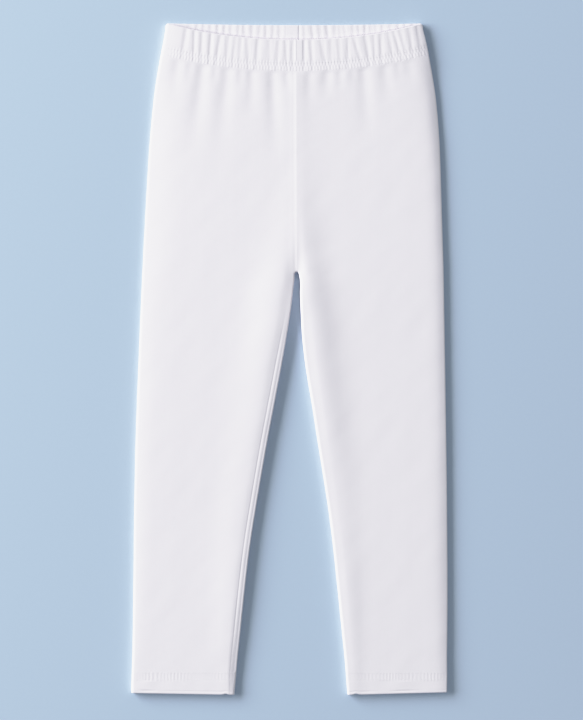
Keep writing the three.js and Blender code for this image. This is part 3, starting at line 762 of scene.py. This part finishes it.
def gather_relief(leg, ply, distance, down):
    """Depth, zero or less, of the gathers at a distance out from the rise seam and down from the top edge."""
    facts = GATHERS[leg.side][ply]
    rng = np.random.default_rng(GATHER_SEED[ply] + leg.out)
    relief = np.zeros_like(distance)
    middle = CASING_HEIGHT / 2
    bottom = CASING_HEIGHT - STITCH_ZONE
    for at, share, lean in zip(facts["at"], facts["depth"], facts["lean"]):
        line = at * MM + lean * (down - middle)
        width = rng.uniform(0.85, 1.15)
        # Most gathers run the whole height. Some close up towards the top or the stitches.
        upper = rng.uniform(0.7, 1.0)
        lower = rng.uniform(0.8, 1.0)
        strength = upper + (lower - upper) * np.clip(down / bottom, 0, 1)
        narrowing = 1 - 0.35 * fade(down, bottom - 5 * MM, bottom + 4 * MM)
        aside = leg.out * (distance - line)
        flank = np.where(aside < 0, GATHER_STEEP, GATHER_GENTLE) * width * narrowing
        relief -= GATHER_DEPTH * share * strength * bell(aside, flank)
    # Finer creases between them, which run only part of the way. Every fourth one starts at the top.
    first, last = facts["at"][0] * MM, facts["at"][-1] * MM
    count = len(facts["at"]) * 2
    for k in range(count):
        place = first + (last - first) * (k + rng.uniform(0.1, 0.9)) / count
        line = place + FINE_GATHER_LEAN * (down - middle)
        top = bottom * rng.uniform(0.15, 0.75)
        shown = fade(down, top - 3 * MM, top + 5 * MM)
        if k % 4 == 1:
            shown = 1 - fade(down, bottom * 0.3, bottom * 0.75)
        depth = FINE_GATHER_DEPTH * rng.uniform(0.5, 1.2)
        relief -= depth * shown * bell(distance - line, FINE_GATHER_WIDTH * rng.uniform(0.8, 1.4))
    return relief


def seam_in_casing(leg, ply, distance):
    """The rise seam inside the casing: where the allowance lies flat beside it, and the seam's own relief, a
    low ridge on the front and a groove on the back."""
    start, end = FLAT_PATCH[ply]
    signed = leg.out * distance
    patch = fade(signed, start - 0.8 * MM, start + 0.4 * MM) * (1 - fade(signed, end - 0.6 * MM, end))
    if ply == "front":
        return patch, 0.12 * MM * bell(signed + 0.3 * MM, 0.7 * MM)
    return patch, -0.3 * MM * bell(signed, np.where(signed < 0, 0.5 * MM, 1.8 * MM))


def rib_relief(x, pitch):
    """Fine ribs of a coverstitch, from 0 in the grooves to 1."""
    return 0.5 + 0.5 * np.cos(2 * math.pi * x / pitch)


def casing_relief(leg, ply, x, y, distance, across, down):
    """Relief of one ply of the casing: free gathers above, pressed ribs in the stitched zone below."""
    gathers = gather_relief(leg, ply, distance, down)
    if ply == "front":
        gathers = gathers * fade(down, *GATHERS_BELOW_EDGE)
    else:
        past = np.abs(y - waist_top("front", across) - BEHIND_EDGE["at"])
        kept = BEHIND_EDGE["kept"]
        gathers = gathers * (kept + (1 - kept) * fade(past, *BEHIND_EDGE["fade"]))
    patch, seam = seam_in_casing(leg, ply, distance)
    free = gathers * (1 - PATCH_FLATTENING * patch) - PATCH_PRESS * patch + seam
    zone_share = fade(down - (CASING_HEIGHT - STITCH_ZONE), *STITCHES_BEGIN)
    slant = leg.out * RIB_SLANT * across * (down - CASING_HEIGHT)
    upper, lower = (CASING_HEIGHT - share * STITCH_ZONE for share in ROW_CHANGE)
    shift = ROW_SHIFT * RIB_PITCH["waist"] * (1 - fade(down, upper, lower))
    ribs = rib_relief(x - slant + shift, RIB_PITCH["waist"])
    stitched = RIB_DEPTH * (ribs - 0.5) + GATHERS_IN_STITCHES * gathers
    near_fold = fade(leg.out * (leg.outer(y) - x), *SMOOTH_AT_FOLD[leg.side])
    return (free * (1 - zone_share) + stitched * zone_share) * near_fold - STITCH_PRESS * zone_share


def casing_section():
    """Rows round the wall of the casing: how far down from the top edge each is, its depth and facing."""
    cap, depth, facing = wall_rows(CASING_ROWS, CASING)
    outside = np.linspace(CASING_HEIGHT, EDGE_CURL, CASING_ROWS)
    down = np.concatenate([outside, EDGE_CURL * (1 - np.sin(cap)), outside[::-1], [CASING_HEIGHT]])
    return down, depth, facing


def casing_columns():
    """Columns of a casing half from the rise seam over the front, the outer fold and the back: whether each
    is on the front, whether it is in the fold, its fold angle and its share of the flat stretch."""
    front_count, back_count = CASING_COLUMNS["front"], CASING_COLUMNS["back"]
    angles = np.linspace(math.pi / 2, 0, CAP_STEPS)
    folded = CAP_STEPS - 1
    in_fold = np.repeat([False, True, False], [front_count, 2 * folded, back_count])
    angle = np.concatenate([np.zeros(front_count), angles[1:], angles[:0:-1], np.zeros(back_count)])
    back_shares = np.linspace(0, 1, back_count)[::-1]
    share = np.concatenate([np.linspace(0, 1, front_count), np.zeros(2 * folded), back_shares])
    front = np.arange(len(angle)) < front_count + folded
    return front, in_fold, angle, share


def casing_cloth(leg, material):
    front, in_fold, angle, share = casing_columns()
    rows = []
    for down, depth, facing in zip(*casing_section()):
        fold_radius = CASING_MIDDLE - depth
        across = np.where(in_fold, 1.0, share)
        for _ in range(PLACING_ROUNDS):
            y = np.where(front, waist_top("front", across), waist_top("back", across)) - down
            seam = np.where(front, leg.seam("front", y), leg.seam("back", y))
            fold_x = leg.outer(y) - leg.out * (depth + fold_radius * (1 - np.cos(angle)))
            flat_end = leg.outer(y) - leg.out * (CASING_MIDDLE + FOLD_ROOM)
            x = np.where(in_fold, fold_x, seam + (flat_end - seam) * share)
            across = (x - seam) / (leg.outer(y) - seam)
        in_corner = CORNER - np.clip(leg.out * (leg.outer(y) - x), 0, CORNER)
        drop = CORNER - np.sqrt(CORNER**2 - in_corner**2)
        y = y - drop * (1 - down / CASING_HEIGHT)
        distance = leg.out * (x - seam)
        relief = np.zeros_like(x)
        for ply, on in (("front", front), ("back", ~front)):
            relief[on] = casing_relief(leg, ply, x[on], y[on], distance[on], across[on], down)
        past_edge = y - waist_top("front", across)
        groove = (1 - fade(past_edge, 0, EDGE_GROOVE_WIDTH)) * fade(past_edge, *EDGE_GROOVE_ONSET)
        shown = relief * facing + np.where(front, 0, EDGE_GROOVE * max(-facing, 0) * groove)
        rise = rounding(leg.out * (leg.outer(y) - x) - depth, fold_radius, leg.outer_squareness)
        high = CASING_TOP - depth + shown + outer_sink(leg, x, y)
        top = CASING_MIDDLE + (high - CASING_MIDDLE) * rise
        under = CASING_MIDDLE - (CASING_MIDDLE - depth + shown) * rise
        rows.append(np.stack([x, y, np.where(front, top, under)], axis=-1))
    piece = grid_mesh(f"{leg.side}_casing_cloth", np.array(rows), leg.out, ring=True)
    finish_cloth(piece, material, f"{leg.side}_waistband")
    return piece


# Hems


def hem_relief(leg, x, y, share_down):
    """Relief of a hem: the stitched ribs, uneven puckers below them and a crease over the fold."""
    down = HEM_LINE_Y - y
    rng = np.random.default_rng(HEM_SEED + leg.out)
    wander = sum(
        rng.uniform(0.4, 1.2) * np.sin(x / (rng.uniform(2, 9) * MM) + rng.uniform(0, 6)) for _ in range(5)
    )
    ribs = rib_relief(x + 0.3 * MM * wander, RIB_PITCH["hem"]) - 0.5
    patches = sum(share * bell(x - at * MM, half * MM) for at, half, share in HEM_RIBS[leg.side])
    ribs = HEM_RIB_DEPTH * ribs * (HEM_RIBS_ELSEWHERE + patches) * fade(down, 0, 1.0 * MM)
    press = -HEM_PRESS * fade(down, 0, 4 * MM)
    pucker = HEM_PUCKER * wander * (1 - fade(down, HEM_ZONE, 17 * MM))
    from_bottom = (1 - share_down) * HEM_HEIGHT
    crease = HEM_CREASE["depth"] * bell(from_bottom - HEM_CREASE["up"], HEM_CREASE["width"])
    free = pucker - crease * (1 + 0.4 * wander)
    stitched = 1 - fade(down, HEM_ZONE - 0.3 * MM, HEM_ZONE + 1.2 * MM)
    return stitched * (press + ribs) + (1 - stitched) * free


def hem_section():
    """Rows round the wall of a hem: how far down each is, what the turn lifts it, its depth and facing."""
    cap, depth, facing = wall_rows(HEM_ROWS, HEM_WALL)
    radius = HEM_WALL / 2
    up = np.linspace(1, 0, HEM_ROWS)
    share_down = np.concatenate([1 - up, np.ones(len(cap)), up, [0]])
    turn = radius * (1 - np.sin(cap))
    lift = np.concatenate([np.full(HEM_ROWS, radius), turn, np.full(HEM_ROWS, radius), [radius]])
    lift = np.where(share_down < 1, lift * share_down, lift)
    return share_down, lift, depth, facing


def hem_cloth(leg, material):
    front, zone, angle, share = tube_columns(HEM_COLUMNS)
    across = np.where(zone == 0, share, (zone > 0) * 1.0)
    bottom_at = HEM_BOTTOM[leg.side]
    bottom = bottom_at["inner"] + (bottom_at["outer"] - bottom_at["inner"]) * across
    rows = []
    for share_down, lift, depth, facing in zip(*hem_section()):
        y = HEM_LINE_Y + (bottom - HEM_LINE_Y) * share_down + lift
        inner = leg.inner(y)
        outer = leg.outer(y)
        inset = leg.out * depth
        fold_radius = HEM_MIDDLE - depth
        x = column_x(leg.out, zone, angle, share, inner + inset, outer - inset, fold_radius)
        from_inner = leg.out * (x - inner)
        from_outer = leg.out * (outer - x)
        rise = np.minimum(
            rounding(from_inner - depth, fold_radius, SQUARENESS["hem_inner"]),
            rounding(from_outer - depth, fold_radius, leg.outer_squareness),
        )
        y = y + HEM_TACK["rise"] * share_down**4 * bell(from_inner - HEM_TACK["at"], HEM_TACK["width"])
        from_fold = np.minimum(from_inner, from_outer) - depth
        relief = hem_relief(leg, x, y, share_down) * facing * fade(from_fold, *HEM_RELIEF_FADE)
        relief = np.where(front, relief, np.minimum(relief, 0))
        carried = front_height(leg, x, np.full_like(x, HEM_LINE_Y)) - PLY_TOP
        carried = np.maximum(carried, -HEM_SINK) * (1 - HEM_FLATTENING * share_down)
        top = HEM_MIDDLE + (HEM_TOP + carried - depth + relief - HEM_MIDDLE) * rise
        under = HEM_MIDDLE - (HEM_MIDDLE - depth + relief) * rise
        rows.append(np.stack([x, y, np.where(front, top, under)], axis=-1))
    points = np.array(rows)
    piece = grid_mesh(f"{leg.side}_hem_cloth", points[::-1], leg.out, closed_rows=len(rows), ring=True)
    finish_cloth(piece, material, f"{leg.side}_hem")
    return piece


# Stitches


def waist_line(leg, ply, above_seam, x):
    """y of a line that runs round the casing a given height above its lower seam."""
    y = np.full_like(x, WAIST_TOP_Y - CASING_HEIGHT)
    for _ in range(PLACING_ROUNDS + 1):
        y = waist_seam(ply, leg.across(ply, x, y)) + above_seam
    return y


def needle_lines(leg, kind):
    """Each row of stitches: the ply it shows on, and the points where its stitches have their middles."""
    near, far = STITCH_MARGIN[kind]
    for ply in PLY_FACING:
        for offset in NEEDLE_ROWS:
            if kind == "waist":
                start, end = leg.seam(ply, WAIST_TOP_Y), leg.outer(WAIST_TOP_Y - CASING_HEIGHT)
            else:
                start, end = leg.inner(HEM_LINE_Y), leg.outer(HEM_LINE_Y)
            x = np.arange(start + leg.out * near, end - leg.out * far, leg.out * RIB_PITCH[kind])
            y = waist_line(leg, ply, offset, x) if kind == "waist" else np.full_like(x, HEM_LINE_Y - offset)
            yield ply, x, y


def stitches(leg, kind, cloth, material):
    """Short threads that dip into the cloth at both ends, in the two needle rows of a coverstitch."""
    tree = BVHTree.FromObject(cloth, bpy.context.evaluated_depsgraph_get())
    points = []
    faces = []
    shares = np.linspace(-0.5, 0.5, STITCH_RINGS)
    turns = np.linspace(0, 2 * math.pi, STITCH_SIDES, endpoint=False)
    for ply, xs, ys in needle_lines(leg, kind):
        facing = PLY_FACING[ply]
        for x, y, slope in zip(xs, ys, np.gradient(ys, xs)):
            hit = tree.ray_cast(Vector((x, y, facing * RAY_HEIGHT)), Vector((0, 0, -facing)))[0]
            if hit is None:
                continue
            first = len(points)
            for share in shares:
                along = share * STITCH_LENGTH[kind]
                rise = STITCH_RISE * (math.cos(math.pi * share) - STITCH_ARCH) - STITCH_SUNK[ply]
                for turn in turns:
                    side = THREAD_RADIUS * math.cos(turn)
                    up = facing * (rise + THREAD_RADIUS * math.sin(turn))
                    points.append((x + along - slope * side, y + slope * along + side, hit.z + up))
            for ring in range(STITCH_RINGS - 1):
                for k in range(STITCH_SIDES):
                    a = first + ring * STITCH_SIDES + k
                    b = first + ring * STITCH_SIDES + (k + 1) % STITCH_SIDES
                    quad = (a, b, b + STITCH_SIDES, a + STITCH_SIDES)
                    faces.append(quad if facing < 0 else quad[::-1])
    piece = new_piece(f"{leg.side}_{kind}_stitches", points, faces)
    piece.data.materials.append(material)
    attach(piece, "root")
    return piece


# Materials


def new_material(name):
    material = bpy.data.materials.new(name)
    material.use_nodes = True
    tree = material.node_tree
    place = node(tree, "ShaderNodeTexCoord").outputs["Object"]
    return material, tree, tree.nodes["Principled BSDF"], place


def node(tree, kind, inputs=(), **settings):
    """Adds a shader node. inputs gives sockets by name or number: a value, or another node's output."""
    made = tree.nodes.new(kind)
    for key, value in settings.items():
        setattr(made, key, value)
    for key, value in dict(inputs).items():
        if isinstance(value, bpy.types.NodeSocket):
            tree.links.new(value, made.inputs[key])
        else:
            made.inputs[key].default_value = value
    return made


def noise(tree, place, scale, detail):
    grain = node(tree, "ShaderNodeTexNoise", {"Vector": place, "Scale": scale, "Detail": detail})
    return grain.outputs["Fac"]


def shades(tree, factor, dark, light):
    """A colour that wanders between two shades."""
    mix = node(tree, "ShaderNodeMix", {"Factor": factor, 6: (*dark, 1), 7: (*light, 1)}, data_type="RGBA")
    return mix.outputs[2]


def between(tree, value, low, high):
    return node(tree, "ShaderNodeMapRange", {"Value": value, "To Min": low, "To Max": high}).outputs["Result"]


def bump(tree, height, strength, distance, **under):
    inputs = {"Height": height, "Strength": strength, "Distance": distance, **under}
    return node(tree, "ShaderNodeBump", inputs).outputs["Normal"]


def maths(tree, operation, *values):
    return node(tree, "ShaderNodeMath", dict(enumerate(values)), operation=operation).outputs[0]


def knit_height(tree, place, wale):
    """Height of plain knit loops: V-shaped stitches in columns a wale wide and rows a course high."""
    split = node(tree, "ShaderNodeSeparateXYZ", {0: place})
    column = maths(tree, "FRACT", maths(tree, "DIVIDE", split.outputs["X"], wale))
    from_middle = maths(tree, "ABSOLUTE", maths(tree, "SUBTRACT", column, 0.5))
    row = maths(tree, "DIVIDE", split.outputs["Y"], COURSE)
    slanted = maths(tree, "ADD", row, from_middle)
    loops = maths(tree, "SINE", maths(tree, "MULTIPLY", slanted, 2 * math.pi))
    column_round = maths(tree, "SINE", maths(tree, "MULTIPLY", column, math.pi))
    return maths(tree, "ADD", maths(tree, "MULTIPLY", loops, 0.35), column_round)


def knit_material(name, wale):
    material, tree, shader, place = new_material(name)
    cloudy = noise(tree, place, 18.0, 4.0)
    fuzz = noise(tree, place, 900.0, 2.0)
    clouded = [c * CLOUDING for c in CLOTH_WHITE]
    tree.links.new(shades(tree, cloudy, clouded, CLOTH_WHITE), shader.inputs["Base Color"])
    tree.links.new(between(tree, fuzz, 0.82, 0.95), shader.inputs["Roughness"])
    loops = bump(tree, knit_height(tree, place, wale), 0.5, LOOP_DEPTH)
    tree.links.new(bump(tree, fuzz, 0.25, HAIR_DEPTH, Normal=loops), shader.inputs["Normal"])
    shader.inputs["Sheen Weight"].default_value = 0.12
    shader.inputs["Sheen Roughness"].default_value = 0.5
    shader.inputs["Specular IOR Level"].default_value = 0.25
    return material


def thread_material():
    material, tree, shader, place = new_material("white_thread")
    wave = node(tree, "ShaderNodeTexWave", {"Vector": place, "Scale": 900.0, "Distortion": 1.5})
    twist = wave.outputs["Fac"]
    # The colour follows the twist as the bump does: the grooves of the twist are painted darker as painted
    # shade, and the crests lighter.
    tree.links.new(shades(tree, twist, *THREAD_SHADES), shader.inputs["Base Color"])
    tree.links.new(between(tree, twist, 0.6, 0.75), shader.inputs["Roughness"])
    tree.links.new(bump(tree, twist, 0.3, TWIST_DEPTH), shader.inputs["Normal"])
    return material


def floor_material():
    material, tree, shader, place = new_material("pale_blue_surface")
    grain = noise(tree, place, 400.0, 3.0)
    tree.links.new(shades(tree, grain, *FLOOR_SHADES), shader.inputs["Base Color"])
    shader.inputs["Roughness"].default_value = 0.85
    shader.inputs["Specular IOR Level"].default_value = 0.2
    return material


# Room, light and camera


def make_camera():
    data = bpy.data.cameras.new("camera")
    data.sensor_width = SENSOR
    data.lens = SENSOR * CAMERA_HEIGHT / VIEW_HEIGHT
    data.clip_end = CAMERA_REACH
    camera = bpy.data.objects.new("camera", data)
    camera.location = (*VIEW_CENTRE, CAMERA_HEIGHT)
    bpy.context.scene.collection.objects.link(camera)
    bpy.context.scene.camera = camera


def make_light():
    data = bpy.data.lights.new("key", "AREA")
    data.shape = "ELLIPSE"
    data.size = KEY_WIDTH
    data.size_y = KEY_TALL
    data.energy = KEY_POWER
    data.color = KEY_COLOUR
    key = bpy.data.objects.new("key", data)
    upwards = Vector((0, 0, math.sin(KEY_ELEVATION)))
    key.location = KEY_DISTANCE * (KEY_FROM * math.cos(KEY_ELEVATION) + upwards)
    key.rotation_euler = key.location.to_track_quat("Z", "Y").to_euler()
    bpy.context.scene.collection.objects.link(key)
    world = bpy.data.worlds.new("soft_room")
    world.use_nodes = True
    sky = world.node_tree.nodes["Background"]
    sky.inputs["Color"].default_value = (*SKY, 1)
    sky.inputs["Strength"].default_value = SKY_STRENGTH
    bpy.context.scene.world = world


def make_floor():
    signs = ((-1, -1), (1, -1), (1, 1), (-1, 1))
    corners = [(x * FLOOR_REACH, y * FLOOR_REACH, -FLOOR_DROP) for x, y in signs]
    floor = new_piece("floor", corners, [(0, 1, 2, 3)])
    floor.data.materials.append(floor_material())


def soft_highlights():
    """Rolls the brightest tones off, as the photograph does, in place of clipping them."""
    view = bpy.context.scene.view_settings
    view.view_transform = "Standard"
    view.use_curve_mapping = True
    mapping = view.curve_mapping
    mapping.clip_max_x = TONES[-1][0]
    curve = mapping.curves[3]
    curve.points[0].location = TONES[0]
    curve.points[1].location = TONES[-1]
    for brightness, shown in TONES[1:-1]:
        curve.points.new(brightness, shown)
    mapping.update()


soft_highlights()
make_camera()
make_light()
make_floor()

knit = knit_material("white_jersey", WALE["leg"])
gathered = knit_material("white_jersey_gathered", WALE["casing"])
thread = thread_material()

for side in SIDES:
    leg = Leg(side)
    leg_piece = leg_cloth(leg, knit)
    casing_piece = casing_cloth(leg, gathered)
    hem_piece = hem_cloth(leg, knit)
    waist_stitches = stitches(leg, "waist", casing_piece, thread)
    hem_stitches = stitches(leg, "hem", hem_piece, thread)
